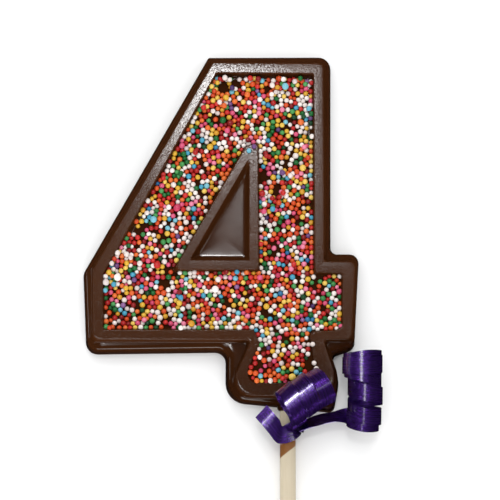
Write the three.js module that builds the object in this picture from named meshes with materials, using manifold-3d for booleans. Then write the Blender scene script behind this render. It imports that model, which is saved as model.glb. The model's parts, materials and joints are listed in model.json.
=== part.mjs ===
// A number lollipop: a moulded dark chocolate figure four, lying on its flat back with the decorated
// front up, on a rolled paper stick, with a curled gift ribbon tied round the stick.
// Millimetres. X runs to the right of the figure, Y to its top and Z up out of its front.
// The origin is at the middle of the underside of the whole lollipop's box.
import * as THREE from "three";
import { mergeVertices } from "three/addons/utils/BufferGeometryUtils.js";
import Module from "manifold-3d";

const wasm = await Module();
wasm.setup();

// Heights above the flat back
const SHELF = 6.4; // the low rim round the outside of the figure
const BORDER = 8.4; // the raised border that follows the figure
const BED = 5.9; // the sunk bed that the sprinkles lie on
const FOOT_BED = 7.7; // the same bed in the foot, where the mould was filled almost to the border
const PANEL = 6.43; // the triangular panel inside the figure's eye, at its edge
const PANEL_MIDDLE = 6.36;

// Plan of the figure
const TOP = 58;
const STEM_RIGHT = 24.1;
const ARM_TOP = -0.5;
const ARM_RIGHT = 32.2;
const ARM_BOTTOM = -29.8;
const ARM_LEFT = -48.4;
const FOOT_LEFT = -6.9;
const FOOT_RIGHT = 26.2;
const FOOT_BOTTOM = -46.9; // at its right end; the foot's underside rises a little to the left
const SHOULDER = -6.5; // where the left end turns into the long slope

// Border and bed, measured in from the outline
const BORDER_IN = 2.8;
const BED_IN = 5.9;

// Stick
const STICK_RADIUS = 2.25;
const STICK_LENGTH = 150;
const STICK_INSIDE = 38; // how far it reaches into the chocolate
const STICK_X = 11;
const STICK_Z = 3.1;
const STICK_SIDES = 24;
const STICK_BEVEL = 0.25;
const STICK_CLEARANCE = 0.15;
const COLLAR_END = -46.6; // chocolate that crept down the stick
const COLLAR_RADIUS = 2.75;
const COLLAR_ROOT_RADIUS = 3.05;

// Sprinkles
const SPRINKLE_RADIUS = 0.75;
const SPRINKLE_SUNK = 0.42;
const SPRINKLE_SPACING = 3.1;
const SPRINKLE_WANDER = 0.5;
const SPRINKLE_EDGE = 0.2; // the least gap between a sprinkle and the bed's wall

// Ribbon
const RIBBON_WIDTH = 4.8;
const RIBBON_THICK = 0.2;
const TURN_STEPS = 16;
const STRAND_STEPS = 3; // between two guide points of a strand

// Turns a closed triangle mesh into a solid.
function solidOf(geometry) {
  const bare = (geometry.index ? geometry.toNonIndexed() : geometry.clone())
    .deleteAttribute("normal")
    .deleteAttribute("uv");
  const merged = mergeVertices(bare, 1e-4);
  return new wasm.Manifold(
    new wasm.Mesh({
      numProp: 3,
      vertProperties: merged.attributes.position.array,
      triVerts: new Uint32Array(merged.index.array),
    }),
  );
}

// Turns a solid back into a geometry for a mesh.
function geometryOf(solid) {
  const made = solid.getMesh();
  const geometry = new THREE.BufferGeometry();
  geometry.setAttribute("position", new THREE.BufferAttribute(made.vertProperties, 3));
  geometry.setIndex(new THREE.BufferAttribute(made.triVerts, 1));
  const flat = geometry.toNonIndexed();
  flat.computeVertexNormals();
  return flat;
}

function geometryFrom(points, triangles) {
  const geometry = new THREE.BufferGeometry();
  geometry.setAttribute("position", new THREE.Float32BufferAttribute(points.flat(), 3));
  geometry.setIndex(triangles.flat());
  return geometry;
}

// A closed outline from corners [x, y, radius], each rounded by an arc and the whole moved in by
// inset. Corners run clockwise. Every inset gives the same number of points.
function outline(corners, inset = 0) {
  const count = corners.length;
  const at = (i) => new THREE.Vector2(...corners[(i + count) % count]);
  const inward = (i) => {
    const along = at(i + 1).sub(at(i)).normalize();
    return new THREE.Vector2(along.y, -along.x);
  };
  const points = [];
  for (let i = 0; i < count; i += 1) {
    const before = inward(i - 1);
    const after = inward(i);
    const share = 1 + before.dot(after);
    const corner = at(i).addScaledVector(before.clone().add(after), inset / share);
    const turn = Math.atan2(before.cross(after), before.dot(after));
    const convex = turn < 0;
    const radius = Math.max(corners[i][2] + (convex ? -inset : inset), 0.12);
    const toCentre = radius * (convex ? 1 : -1);
    const centre = corner.addScaledVector(before.clone().add(after), toCentre / share);
    const steps = corners[i][2] > 2 ? 5 : 2;
    for (let s = 0; s <= steps; s += 1) {
      const normal = before.clone().rotateAround(new THREE.Vector2(), (turn * s) / steps);
      const point = centre.clone().addScaledVector(normal, -toCentre);
      points.push([point.x, point.y]);
    }
  }
  return points;
}

// A solid whose sides follow levels [inset, z], listed from the bottom up.
function stack(corners, levels) {
  const rings = levels.map(([inset, z]) => outline(corners, inset).map(([x, y]) => [x, y, z]));
  const count = rings[0].length;
  const triangles = [];
  for (let level = 0; level + 1 < rings.length; level += 1) {
    for (let i = 0; i < count; i += 1) {
      const a = level * count + i;
      const b = level * count + ((i + 1) % count);
      triangles.push([a, a + count, b], [b, a + count, b + count]);
    }
  }
  const capOf = (ring) =>
    THREE.ShapeUtils.triangulateShape(ring.map(([x, y]) => new THREE.Vector2(x, y)), []);
  const last = (rings.length - 1) * count;
  capOf(rings[0]).forEach(([a, b, c]) => triangles.push([a, c, b]));
  capOf(rings[rings.length - 1]).forEach((cap) => triangles.push(cap.map((i) => i + last)));
  return solidOf(geometryFrom(rings.flat(), triangles));
}

// Corners of the figure at its back
const figure = [
  [-12.4, TOP - 0.4, 0.6],
  [STEM_RIGHT, TOP, 3],
  [STEM_RIGHT - 0.3, ARM_TOP, 1.8],
  [ARM_RIGHT, ARM_TOP, 2.4],
  [ARM_RIGHT - 1.6, ARM_BOTTOM + 1.4, 2.6],
  [STEM_RIGHT, ARM_BOTTOM - 1, 1.2],
  [FOOT_RIGHT, ARM_BOTTOM - 7.8, 9],
  [FOOT_RIGHT - 1.7, FOOT_BOTTOM, 1.8],
  [FOOT_LEFT, FOOT_BOTTOM + 3.1, 5.5],
  [FOOT_LEFT, ARM_BOTTOM + 0.4, 2.8],
  [ARM_LEFT + 1.1, ARM_BOTTOM - 0.3, 3.2],
  [ARM_LEFT, SHOULDER, 3],
];

// Corners of the border's foot, on the shelf
const border = [
  [-11.1, TOP - BORDER_IN, 0.8],
  [STEM_RIGHT - 2.4, TOP - BORDER_IN, 1.4],
  [STEM_RIGHT - 2.5, ARM_TOP - BORDER_IN, 0.6],
  [ARM_RIGHT - 1.5, ARM_TOP - BORDER_IN, 1.6],
  [ARM_RIGHT - 2.7, ARM_BOTTOM + 3.4, 1.4],
  [STEM_RIGHT - BORDER_IN, ARM_BOTTOM + 3.4, 0.8],
  [FOOT_RIGHT - 1.7, -36, 5],
  [FOOT_RIGHT - 2.6, -42.8, 4.2],
  [FOOT_LEFT + 1.6, -42.5, 4.2],
  [FOOT_LEFT + 2.8, -35.8, 4],
  [0, ARM_BOTTOM + 3.2, 0.7],
  [ARM_LEFT + BORDER_IN + 0.2, ARM_BOTTOM + 3.2, 1.6],
  [ARM_LEFT + BORDER_IN + 0.2, SHOULDER + 0.5, 2.2],
];

// Corners of the bed where it meets the top of the border
const bed = [
  [-10, TOP - BED_IN, 0.9],
  [STEM_RIGHT - 5.3, TOP - BED_IN, 0.6],
  [STEM_RIGHT - 5.2, ARM_TOP - 6.1, 0.9],
  [ARM_RIGHT - 5.2, ARM_TOP - 6.1, 0.8],
  [ARM_RIGHT - 5.3, ARM_BOTTOM + 6.2, 2.2],
  [STEM_RIGHT - 6.7, ARM_BOTTOM + 5.6, 1.4],
  [STEM_RIGHT - 5.9, -31, 3],
  [STEM_RIGHT - 4.4, -38.8, 2.4],
  [-1.1, -38.8, 2.2],
  [-0.7, -34.4, 2.6],
  [2.5, -27.4, 1.8],
  [0.7, ARM_BOTTOM + 6.1, 0.9],
  [ARM_LEFT + 5.8, ARM_BOTTOM + 6, 0.9],
  [ARM_LEFT + 5.8, SHOULDER - 0.7, 1.4],
];

// Corners of the raised triangle round the eye, and of the eye itself
const eyeBorder = [
  [-1.1, 29.9, 0.5],
  [2, 30.9, 0.7],
  [2.2, -5.8, 0.9],
  [-21.5, -5.8, 0.8],
];
const eye = [
  [-0.1, 27.3, 0.3],
  [-0.1, -3.5, 0.4],
  [-17.8, -3.5, 0.4],
];

// Rounded wall of the border, as [run, drop] from its flat top down
const WALL = [
  [0, 0],
  [0.2, 0.15],
  [0.5, 1.25],
  [1, BORDER - BED],
];

// Slab with a drafted side and a soft upper edge
function slab() {
  return stack(figure, [
    [0, 0],
    [0.45, 4.2],
    [0.8, 5.4],
    [1.3, 5.95],
    [2.3, SHELF],
  ]);
}

// The foot's shallower bed, as a filling that the bed's cutter leaves
function footFilling() {
  const profile = new THREE.Shape([
    new THREE.Vector2(-50, BED - 1),
    new THREE.Vector2(-22, BED - 1),
    new THREE.Vector2(-22, BED),
    new THREE.Vector2(-28.5, FOOT_BED),
    new THREE.Vector2(-50, FOOT_BED),
  ]);
  const wide = 40;
  const filling = new THREE.ExtrudeGeometry(profile, { depth: wide, bevelEnabled: false });
  filling.applyMatrix4(
    new THREE.Matrix4().makeBasis(
      new THREE.Vector3(0, 1, 0),
      new THREE.Vector3(0, 0, 1),
      new THREE.Vector3(1, 0, 0),
    ),
  );
  filling.translate(-wide / 4, 0, 0);
  return solidOf(filling);
}

function bedCutter() {
  const walls = WALL.map(([run, drop]) => [run, BORDER - drop]).reverse();
  return stack(bed, [...walls, [-0.2, BORDER + 0.6]]).subtract(footFilling());
}

function eyeBorderRing() {
  return stack(eyeBorder, WALL.map(([run, drop]) => [-run, BORDER - drop]).reverse());
}

// The eye's walls run out into a panel that is hollowed a little, like a dish
function eyeCutter() {
  return stack(eye, [
    [5.4, PANEL_MIDDLE],
    [3.4, PANEL_MIDDLE + 0.03],
    [1.6, PANEL],
    [1.2, PANEL + 0.13],
    [0.72, BORDER - 1.35],
    [0.25, BORDER - 0.25],
    [0, BORDER],
    [-0.2, BORDER + 0.6],
  ]);
}

function borderRidge() {
  return stack(border, [
    [-0.6, SHELF - 0.3],
    [-0.4, SHELF + 0.05],
    [-0.1, SHELF + 0.6],
    [0.15, BORDER - 0.35],
    [0.45, BORDER],
  ]);
}

// A turned solid round the stick's axis, from [radius, distance] pairs, running down from y
function roundStick(pairs, y) {
  const profile = pairs.map(([radius, distance]) => new THREE.Vector2(radius, distance));
  const turned = new THREE.LatheGeometry(profile, STICK_SIDES);
  turned.rotateX(Math.PI);
  turned.translate(STICK_X, y, STICK_Z);
  return turned;
}

const STICK_TOP = FOOT_BOTTOM + 1.2 + STICK_INSIDE;

function stickBore() {
  const radius = STICK_RADIUS + STICK_CLEARANCE;
  const depth = STICK_INSIDE + 10;
  return solidOf(roundStick([[0, -0.3], [radius, -0.3], [radius, depth], [0, depth]], STICK_TOP));
}

function stickCollar() {
  const root = FOOT_BOTTOM + 3;
  const length = root - COLLAR_END;
  const profile = [
    [0, 0],
    [COLLAR_ROOT_RADIUS, 0],
    [COLLAR_ROOT_RADIUS, length - 1.2],
    [COLLAR_RADIUS, length],
    [0, length],
  ];
  return solidOf(roundStick(profile, root));
}

// Repeatable random numbers from 0 to 1
function randomFrom(seed) {
  let state = seed;
  return () => {
    state = (Math.imul(state, 1664525) + 1013904223) >>> 0;
    return state / 2 ** 32;
  };
}

function inside(point, ring) {
  let odd = false;
  for (let i = 0, j = ring.length - 1; i < ring.length; j = i, i += 1) {
    const [xi, yi] = ring[i];
    const [xj, yj] = ring[j];
    if (yi > point[1] !== yj > point[1] && point[0] < ((xj - xi) * (point[1] - yi)) / (yj - yi) + xi) {
      odd = !odd;
    }
  }
  return odd;
}

// Height of the bed at a distance y up the figure
function bedHeight(y) {
  return BED + (FOOT_BED - BED) * THREE.MathUtils.clamp((-22 - y) / 6.5, 0, 1);
}

// Places for the sprinkles: a staggered grid, each moved a little at random
function sprinklePlaces() {
  const random = randomFrom(4);
  const wall = WALL[WALL.length - 1][0] + SPRINKLE_RADIUS + SPRINKLE_EDGE;
  const outer = outline(bed, wall);
  const inner = outline(eyeBorder, -wall);
  const rowHeight = (SPRINKLE_SPACING * Math.sqrt(3)) / 2;
  const places = [];
  for (let row = 0; row * rowHeight < 2 * TOP; row += 1) {
    for (let x = ARM_LEFT; x < ARM_RIGHT; x += SPRINKLE_SPACING) {
      const place = [
        x + (row % 2) * (SPRINKLE_SPACING / 2) + (random() - 0.5) * 2 * SPRINKLE_WANDER,
        TOP - row * rowHeight + (random() - 0.5) * 2 * SPRINKLE_WANDER,
      ];
      if (inside(place, outer) && !inside(place, inner)) {
        places.push(place);
      }
    }
  }
  return places;
}

function sprinkles() {
  const turn = randomFrom(9);
  return sprinklePlaces().map(([x, y]) => {
    const ball = new THREE.SphereGeometry(SPRINKLE_RADIUS, 6, 3);
    ball.rotateX(Math.PI / 2);
    ball.rotateZ(turn() * Math.PI);
    ball.translate(x, y, bedHeight(y) + SPRINKLE_RADIUS - SPRINKLE_SUNK);
    return solidOf(ball);
  });
}

function chocolate() {
  const bare = slab()
    .add(borderRidge())
    .subtract(bedCutter())
    .add(eyeBorderRing())
    .subtract(eyeCutter())
    .add(stickCollar())
    .subtract(stickBore());
  return wasm.Manifold.union([bare, ...sprinkles()]);
}

// One station of a ribbon: its middle, and the direction across it
function station(middle, across) {
  return { middle: new THREE.Vector3(...middle), across: new THREE.Vector3(...across).normalize() };
}

// Stations along a smooth line through guide points
function strand(guides) {
  const middles = new THREE.CatmullRomCurve3(guides.map((g) => g.middle), false, "centripetal");
  const acrosses = new THREE.CatmullRomCurve3(guides.map((g) => g.across), false, "centripetal");
  const steps = (guides.length - 1) * STRAND_STEPS;
  return Array.from({ length: steps + 1 }, (_, i) => ({
    middle: middles.getPoint(i / steps),
    across: acrosses.getPoint(i / steps).normalize(),
  }));
}

// Stations of a curl. Each turn has a key for the place where the ribbon passes over its top:
// [x, y, z, heading of its axis in plan, slope of its axis, radius, skew], with the angles in degrees.
// The skew leans the turn along the axis. A hand of -1 winds the curl the other way.
function curl(keys, fromTurn, toTurn, hand) {
  const steps = Math.ceil((toTurn - fromTurn) * TURN_STEPS);
  return Array.from({ length: steps + 1 }, (_, i) => {
    const turn = fromTurn + ((toTurn - fromTurn) * i) / steps;
    const low = THREE.MathUtils.clamp(Math.floor(turn), 0, keys.length - 2);
    const [x, y, z, heading, slope, radius, skew] = keys[low].map((value, item) =>
      THREE.MathUtils.lerp(value, keys[low + 1][item], turn - low),
    );
    const plan = THREE.MathUtils.degToRad(heading);
    const rise = THREE.MathUtils.degToRad(slope);
    const flat = new THREE.Vector3(Math.cos(plan), Math.sin(plan), 0);
    const axis = flat.clone().multiplyScalar(Math.cos(rise)).setZ(Math.sin(rise));
    const side = new THREE.Vector3(flat.y, -flat.x, 0);
    const up = side.clone().cross(axis);
    const around = hand * turn * 2 * Math.PI + Math.PI / 2;
    const middle = new THREE.Vector3(x, y, z)
      .addScaledVector(side, radius * Math.cos(around))
      .addScaledVector(up, radius * Math.sin(around))
      .addScaledVector(axis, -skew * Math.cos(around));
    return { middle, across: axis };
  });
}

// The four corners of a ribbon's section at each station
function sections(stations) {
  return stations.map(({ middle, across }, i) => {
    const ahead = stations[Math.min(i + 1, stations.length - 1)].middle;
    const behind = stations[Math.max(i - 1, 0)].middle;
    const along = ahead.clone().sub(behind).normalize();
    const normal = across.clone().cross(along);
    const half = RIBBON_WIDTH / 2 / normal.length();
    normal.normalize().multiplyScalar(RIBBON_THICK / 2);
    const corner = (w, n) =>
      middle.clone().addScaledVector(across, w * half).addScaledVector(normal, n).toArray();
    return [corner(1, 1), corner(-1, 1), corner(-1, -1), corner(1, -1)];
  });
}

// A thin strip through sections, with its two faces split into triangles alike
function strip(rings) {
  const triangles = [[0, 1, 2], [0, 2, 3]];
  for (let i = 0; i + 1 < rings.length; i += 1) {
    const a = i * 4;
    const b = a + 4;
    triangles.push(
      [a, b + 1, a + 1], [a, b, b + 1],
      [a + 1, b + 2, a + 2], [a + 1, b + 1, b + 2],
      [a + 3, a + 2, b + 2], [a + 3, b + 2, b + 3],
      [a, a + 3, b + 3], [a, b + 3, b],
    );
  }
  const end = (rings.length - 1) * 4;
  triangles.push([end, end + 2, end + 1], [end, end + 3, end + 2]);
  return solidOf(geometryFrom(rings.flat(), triangles));
}

// A long strip is joined from short ones, so that turns that touch each other fuse cleanly
function joinedStrip(stations) {
  const piece = 9;
  const rings = sections(stations);
  const parts = [];
  for (let start = 0; start + 1 < rings.length; start += piece) {
    parts.push(strip(rings.slice(start, start + piece + 1)));
  }
  return parts.reduce((whole, part) => whole.add(part));
}

const KNOT = [14.2, -51.1, 4.9];

// The strand that runs to the right and its upright curl. Each turn lies outside the one before it,
// and the last one comes back down over the top of the curl to the ribbon's end.
function longCurl() {
  const turns = [
    [32.4, -48.9, 6.2, 90, 14, 4.45, 0.3],
    [32.4, -49.3, 6.1, 90, 14, 4.7, 0.5],
    [32.9, -47.3, 6.55, 90, 14, 5, 0.1],
    [33.2, -40.9, 8.3, 90, 10, 4.85, -0.2],
    [32.2, -35.7, 9.1, 90, 7, 5.25, 0.5],
    [32.2, -31.4, 9.6, 90, 7, 5.5, -0.9],
    [32.2, -33.7, 9.35, 90, 7, 5.75, 0.3],
  ];
  const curled = curl(turns, 0.375, 6.3125, 1);
  const run = strand([
    station(KNOT, [0, 0.6, -0.8]),
    station([17.3, -49.9, 5.7], [0, 0.62, -0.78]),
    station([20.6, -48.9, 5.3], [0, 0.64, -0.76]),
    station([24.1, -48.2, 4.9], [0, 0.62, -0.78]),
    station([26.9, -47.8, 4.2], [0, 0.8, -0.55]),
    curled[0],
  ]);
  return strip(sections([...run.slice(0, -1), ...curled]));
}

// The barrel curl that leans over the front of the foot
function barrelCurl() {
  const turns = [
    [11, -45.4, 15.1, 38, 2, 5.4, -1.2],
    [11.7, -45, 15, 40, 0, 5.55, 1.7],
    [15.3, -42.8, 15.1, 38, -7, 5.6, 1.9],
    [18.9, -40.8, 14.5, 29, -15, 5.45, 0.8],
  ];
  const curled = curl(turns, 0.4375, 3.375, -1);
  const run = strand([
    station(KNOT, [0.8, 0.6, 0]),
    station([14.2, -50.6, 8.6], [0.82, 0.57, 0]),
    curled[0],
  ]);
  return joinedStrip([...run.slice(0, -1), ...curled]);
}

// The short tail that comes round the stick and curls up to its cut end on the left
function shortTail() {
  const tail = strand([
    station([13.7, -50.4, 2.2], [-0.42, 0.9, 0]),
    station([13.7, -50.8, 3.6], [-0.42, 0.9, 0]),
    station([12.8, -51.9, 5.2], [-0.38, 0.93, 0]),
    station([11, -53.1, 5.9], [-0.2, 0.98, 0]),
    station([8.9, -53.4, 6.4], [0.05, 1, 0]),
    station([6.9, -51.1, 7], [0.45, 0.89, 0]),
    station([5.2, -49.1, 7.2], [0.65, 0.76, 0]),
    station([3.2, -46.7, 6.2], [0.68, 0.73, 0]),
  ]);
  return strip(sections(tail));
}

// The slanting loop round the stick, and the small turned knot that holds it
function knot() {
  const gap = 0.3;
  const radius = STICK_RADIUS + gap + RIBBON_THICK / 2;
  const slant = 0.5;
  const sides = 16;
  const loop = Array.from({ length: sides + 1 }, (_, i) => {
    const around = (i / sides) * 2 * Math.PI;
    const out = radius * Math.cos(around);
    const y = -52.4 + slant * Math.max(out, -1.6);
    return station([STICK_X + out, y, STICK_Z + radius * Math.sin(around)], [0, 1, 0]);
  });
  const lump = new THREE.SphereGeometry(1, 8, 5);
  lump.scale(1.9, 1.3, 1.2);
  lump.translate(...KNOT);
  return joinedStrip(loop).add(solidOf(lump));
}

function stickGuard() {
  const radius = STICK_RADIUS + 0.25;
  const ends = STICK_LENGTH + 1;
  return solidOf(roundStick([[0, -1], [radius, -1], [radius, ends], [0, ends]], STICK_TOP));
}

function ribbon() {
  return knot().add(longCurl()).add(barrelCurl()).add(shortTail()).subtract(stickGuard());
}

function stick() {
  const bevelled = STICK_RADIUS - STICK_BEVEL;
  const profile = [
    [0, 0],
    [bevelled, 0],
    [STICK_RADIUS, STICK_BEVEL],
    [STICK_RADIUS, STICK_LENGTH - STICK_BEVEL],
    [bevelled, STICK_LENGTH],
    [0, STICK_LENGTH],
  ];
  return roundStick(profile, STICK_TOP);
}

function mesh(name, geometry, colour, roughness) {
  const material = new THREE.MeshStandardMaterial({ color: colour, roughness, metalness: 0 });
  const made = new THREE.Mesh(geometry, material);
  made.name = name;
  return made;
}

const drawing = new THREE.Group();
drawing.add(
  mesh("chocolate", geometryOf(chocolate()), 0x3b2118, 0.35),
  mesh("stick", stick(), 0xdccfb4, 0.8),
  mesh("ribbon", geometryOf(ribbon()), 0x36187a, 0.3),
);

const box = new THREE.Box3().setFromObject(drawing, true);
const middle = box.getCenter(new THREE.Vector3());
drawing.position.set(-middle.x, -middle.y, -box.min.z);

const lollipop = new THREE.Group();
lollipop.add(drawing);
export default lollipop;
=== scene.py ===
"""Looks of a number lollipop: a moulded dark chocolate figure four with a bed of sugar sprinkles, on a
paper stick with a curled gift ribbon. Places are given in millimetres from the middle of the picture
and become metres in the part's own frame through at()."""

import json
import math

import bmesh
import bpy
import numpy as np
from mathutils import Matrix, Vector

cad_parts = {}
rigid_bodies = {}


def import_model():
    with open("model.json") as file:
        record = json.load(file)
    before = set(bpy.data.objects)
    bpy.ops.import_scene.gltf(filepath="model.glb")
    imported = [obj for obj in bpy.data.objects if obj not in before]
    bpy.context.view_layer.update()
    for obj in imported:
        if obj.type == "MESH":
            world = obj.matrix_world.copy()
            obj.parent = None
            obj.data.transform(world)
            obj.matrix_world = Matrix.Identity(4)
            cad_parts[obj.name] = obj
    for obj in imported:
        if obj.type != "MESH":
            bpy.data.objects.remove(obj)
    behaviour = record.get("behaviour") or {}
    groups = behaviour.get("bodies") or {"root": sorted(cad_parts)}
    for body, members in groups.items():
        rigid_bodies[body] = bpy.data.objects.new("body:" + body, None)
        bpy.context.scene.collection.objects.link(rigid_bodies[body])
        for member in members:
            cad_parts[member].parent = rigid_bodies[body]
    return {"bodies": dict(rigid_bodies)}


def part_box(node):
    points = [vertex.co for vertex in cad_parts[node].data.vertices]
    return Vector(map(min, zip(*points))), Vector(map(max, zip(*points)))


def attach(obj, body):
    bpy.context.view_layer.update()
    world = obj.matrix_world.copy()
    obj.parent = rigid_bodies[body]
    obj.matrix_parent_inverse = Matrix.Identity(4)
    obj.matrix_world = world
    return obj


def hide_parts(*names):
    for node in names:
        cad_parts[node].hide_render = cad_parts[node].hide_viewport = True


MM = 0.001

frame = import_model()
BODY = next(iter(frame["bodies"]))
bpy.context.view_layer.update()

# Heights above the flat back
SHELF = 6.4
BORDER = 8.4
BED = 5.9
FOOT_BED = 7.7
FOOT_RAMP = (-22, -28.5)  # where the bed rises to its height in the foot
ABOVE = BORDER + 1.6  # where a cutter starts
UNDER_BED = BED - 1  # where a form that stands in the bed starts

# Stick
STICK_RADIUS = 2.25
STICK_LENGTH = 150
STICK_X = 11
STICK_TOP = -7.7  # its upper end, inside the chocolate
STICK_Z = 3.1  # height of its axis

# Where the middle of the picture lies in the frame, from the stick's place in both
stick_low, stick_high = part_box("stick")
SHIFT = Vector(
    ((stick_low.x + stick_high.x) / 2 / MM - STICK_X, stick_high.y / MM - STICK_TOP, 0)
)


def at(x, y, z=0.0):
    """A place in the drawing, in millimetres, as a place in the frame, in metres."""
    return (Vector((x, y, z)) + SHIFT) * MM


# Corners [x, y, radius] of the figure at its back, going clockwise
FIGURE = [
    (-12.4, 57.6, 0.6),
    (24.1, 58, 3),
    (23.8, -0.5, 1.8),
    (32.2, -0.5, 2.4),
    (30.6, -28.4, 2.6),
    (24.1, -30.8, 1.2),
    (26.2, -37.6, 9),
    (24.5, -46.9, 1.8),
    (-6.9, -43.8, 5.5),
    (-6.9, -29.4, 2.8),
    (-47.3, -30.1, 3.2),
    (-48.4, -6.5, 3),
]

# Corners of the border's foot, on the shelf
BORDER_FOOT = [
    (-11.1, 55.2, 0.8),
    (21.7, 55.2, 1.4),
    (21.6, -3.3, 0.6),
    (30.7, -3.3, 1.6),
    (29.5, -26.4, 1.4),
    (21.3, -26.4, 0.8),
    (24.5, -36, 5),
    (23.6, -42.8, 4.2),
    (-5.3, -42.5, 4.2),
    (-4.1, -35.8, 4),
    (0, -26.6, 0.7),
    (-45.4, -26.6, 1.6),
    (-45.4, -6, 2.2),
]

# Corners of the sunk bed where it meets the top of the border
BED_EDGE = [
    (-10, 52.1, 0.9),
    (18.8, 52.1, 0.6),
    (18.9, -6.6, 0.9),
    (27, -6.6, 0.8),
    (26.9, -23.6, 2.2),
    (17.4, -24.2, 1.4),
    (18.2, -31, 3),
    (19.7, -38.8, 2.4),
    (-1.1, -38.8, 2.2),
    (-0.7, -34.4, 2.6),
    (2.5, -27.4, 1.8),
    (0.7, -23.7, 0.9),
    (-42.6, -23.8, 0.9),
    (-42.6, -7.2, 1.4),
]

# Corners of the raised triangle round the eye, and of the eye
EYE_BORDER = [(-1.1, 29.9, 0.5), (2, 30.9, 0.7), (2.2, -5.8, 0.9), (-21.5, -5.8, 0.8)]
EYE = [(-0.1, 27.3, 0.3), (-0.1, -3.5, 0.4), (-17.8, -3.5, 0.4)]

# Levels [inset, height] of each form, from where its tracing starts
SLAB_LEVELS = [
    (0, 0),
    (0.2, 2.2),
    (0.45, 4.2),
    (0.62, 5.0),
    (0.85, 5.45),
    (1.1, 5.75),
    (1.4, 5.98),
    (1.8, 6.18),
    (2.3, 6.32),
    (3.2, SHELF),
]
BORDER_LEVELS = [
    (-0.75, SHELF - 0.3),
    (-0.6, SHELF - 0.04),
    (-0.4, SHELF + 0.05),
    (-0.24, SHELF + 0.22),
    (-0.12, SHELF + 0.55),
    (-0.03, SHELF + 0.95),
    (0.06, SHELF + 1.35),
    (0.16, SHELF + 1.68),
    (0.28, SHELF + 1.87),
    (0.43, SHELF + 1.96),
    (0.65, SHELF + 1.99),
    (2.2, BORDER),
]
WALL = [
    (0, 0),
    (0.08, 0.03),
    (0.17, 0.12),
    (0.26, 0.32),
    (0.35, 0.65),
    (0.45, 1.05),
    (0.56, 1.5),
    (0.72, 1.95),
    (1.0, 2.3),
    (1.6, BORDER - BED),
]
EYE_WALL = [
    (0, BORDER),
    (0.09, BORDER - 0.04),
    (0.2, BORDER - 0.16),
    (0.33, BORDER - 0.45),
    (0.5, BORDER - 0.9),
    (0.72, BORDER - 1.35),
    (0.98, BORDER - 1.68),
    (1.24, BORDER - 1.86),
    (1.43, BORDER - 1.93),
    (1.62, BORDER - 1.965),
    (2.0, BORDER - 1.995),
    (3.2, BORDER - 2.02),
    (5.4, BORDER - 2.04),
]
EYE_BORDER_FOOT = (-1.1, UNDER_BED)  # level where the eye's border starts

# Chocolate that crept down the stick, and the bore round the stick
COLLAR_TOP = -43.9
COLLAR_END = -46.6
COLLAR_RADIUS = 3.05
COLLAR_ROUNDING = 1.1
BORE_RADIUS = STICK_RADIUS + 0.15
BORE_TOP = STICK_TOP + 0.3
BORE_END = COLLAR_END - 5

# Sprinkles
SPRINKLES = 1710
SPRINKLE_RADIUS = 0.725
SPRINKLE_SPREAD = 0.075  # share by which radii differ
SPRINKLE_SUNK = (0.16, 0.42)  # how deep the lowest ones are pressed into the bed
BIG_SHARE = 0.012
BIG_GROWTH = 1.3
OUT_OF_ROUND = 0.035
SETTLING_ROUNDS = 150
SETTLING_PUSH = 0.55  # share of an overlap that one round takes away
SETTLING_DROP = 0.03  # how far the sprinkles sink in one round
WALL_GAP = 0.35  # how far a low sprinkle keeps from the top edge of the wall beside it
TOP_LIMIT = 50.6  # sprinkles stay below this
TOP_UNEVEN = 0.8  # by which the limit differs from one to the next
FOOT_SHARE = 0.8  # of the sprinkles that fall on the foot, the share that stays there
FOOT_EDGE = ((17.6, -25), (14.6, -37.5))  # the foot's sprinkles lie left of this line

# Bare places in the bed [x, y, radius]
BARE = [
    (-7.8, 47.8, 1.5),
    (-4.4, 49.2, 1),
    (5, 47.6, 0.8),
    (17.6, 34.8, 0.8),
    (8, 18.4, 1),
    (7.4, 16.6, 0.7),
]

# Sprinkles that lie alone on the borders [kind, x, y], and how deep they are sunk
LONE = [
    ("blue", -0.4, 28.7),
    ("purple", 1.1, 30),
    ("white", 17.9, -27.6),
    ("white", 18.3, -33),
    ("white", 18.9, -34.6),
]
LONE_SUNK = 0.25

# Kinds of sprinkle: share of them all, and their usual, light and deep tones in linear colour
KINDS = {
    "white": (0.255, [(0.76, 0.68, 0.64), (0.89, 0.82, 0.78), (0.60, 0.51, 0.49)]),
    "red": (0.175, [(0.39, 0.007, 0.007), (0.60, 0.022, 0.018), (0.20, 0.004, 0.006)]),
    "orange": (0.145, [(0.62, 0.066, 0.006), (0.76, 0.16, 0.025), (0.52, 0.038, 0.006)]),
    "yellow": (0.13, [(0.69, 0.40, 0.030), (0.81, 0.56, 0.11), (0.60, 0.27, 0.012)]),
    "pink": (0.075, [(0.67, 0.085, 0.19), (0.80, 0.23, 0.36), (0.50, 0.03, 0.09)]),
    "green": (0.1, [(0.006, 0.14, 0.028), (0.07, 0.34, 0.09), (0.003, 0.05, 0.016)]),
    "blue": (0.042, [(0.055, 0.33, 0.49), (0.20, 0.52, 0.62), (0.010, 0.11, 0.30)]),
    "purple": (0.012, [(0.15, 0.06, 0.20), (0.28, 0.13, 0.32), (0.05, 0.02, 0.11)]),
}

# Ribbon
RIBBON_WIDTH = 4.8
RIBBON_THICK = 0.16
TURN_STEPS = 24
STRAND_STEPS = 5
KNOT = (14.2, -51.1, 4.9)

# Camera: the picture is this many millimetres across where it looks, from this far away
PICTURE = 145
CAMERA_DISTANCE = 600
CAMERA_AIM = (0, 0, 6)
CAMERA_LEAN_X = math.radians(-2)
CAMERA_LEAN_Y = math.radians(-7.5)

# Shaping
CORNER_STEPS = 6
NEAR = 1e-6  # metres between places that count as one


# Tools for tracing and shaping a piece by hand


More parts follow.
